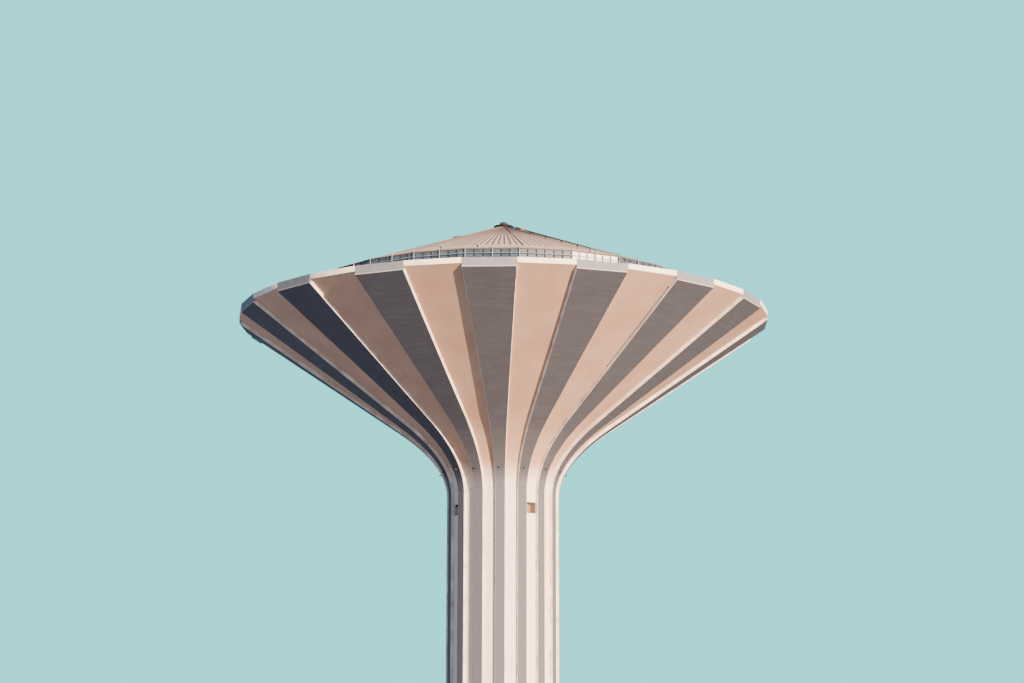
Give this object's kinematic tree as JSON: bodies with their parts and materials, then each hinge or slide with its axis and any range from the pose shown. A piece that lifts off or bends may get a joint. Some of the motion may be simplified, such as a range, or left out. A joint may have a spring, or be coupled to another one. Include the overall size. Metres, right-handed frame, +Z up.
{
  "type": "1:10 scale model of a mushroom water tower",
  "caption": "Concrete mushroom water tower at 1:10: ribbed hollow stem, flared conical tank, flat rim walk, low gallery wall and shallow conical roof.",
  "frame": {"origin": "centre of the stem's base ring, on the ground", "axes": "+Z up along the stem; -Y is the side that the picture shows, with a smooth panel on it"},
  "size_m": [5.573, 5.573, 6.172],
  "materials": {
    "smooth_concrete": "smooth cast concrete, matt",
    "board_marked_concrete": "board-marked cast concrete, rough",
    "roof_sheet": "coated standing-seam aluminium sheet, satin",
    "gallery_panel": "enamelled panel, gloss",
    "galvanised_steel": "galvanised, dull",
    "dark_metal": "weathered dark paint",
    "window_panel": "brown anodised"
  },
  "bodies": {
    "root": {"apex_vent": "dark_metal", "bowl_1": "smooth_concrete", "bowl_2": "smooth_concrete", "bowl_3": "smooth_concrete", "bowl_4": "smooth_concrete", "bowl_5": "smooth_concrete", "bowl_6": "smooth_concrete", "bowl_7": "smooth_concrete", "bowl_8": "smooth_concrete", "flare_wall_1": "smooth_concrete", "flare_wall_2": "smooth_concrete", "flare_wall_3": "smooth_concrete", "flare_wall_4": "smooth_concrete", "flare_wall_5": "smooth_concrete", "flare_wall_6": "smooth_concrete", "flare_wall_7": "smooth_concrete", "flare_wall_8": "smooth_concrete", "gallery_rail_1": "galvanised_steel", "gallery_rail_2": "galvanised_steel", "gallery_rail_3": "galvanised_steel", "gallery_rail_4": "galvanised_steel", "gallery_wall_1": "gallery_panel", "gallery_wall_2": "gallery_panel", "gallery_wall_3": "gallery_panel", "gallery_wall_4": "gallery_panel", "roof_1": "roof_sheet", "roof_2": "roof_sheet", "roof_3": "roof_sheet", "roof_4": "roof_sheet", "roof_5": "roof_sheet", "roof_6": "roof_sheet", "roof_7": "roof_sheet", "roof_8": "roof_sheet", "roof_handrail": "dark_metal", "roof_hatch": "roof_sheet", "roof_vent_box": "dark_metal", "stem_wall_1": "smooth_concrete", "stem_wall_2": "smooth_concrete", "stem_wall_3": "smooth_concrete", "stem_wall_4": "smooth_concrete", "stem_wall_5": "smooth_concrete", "stem_wall_6": "smooth_concrete", "stem_wall_7": "smooth_concrete", "stem_wall_8": "smooth_concrete", "tank_floor": "board_marked_concrete", "window_1": "window_panel", "window_2": "window_panel", "window_3": "window_panel", "window_4": "window_panel"}
  },
  "joints": []
}
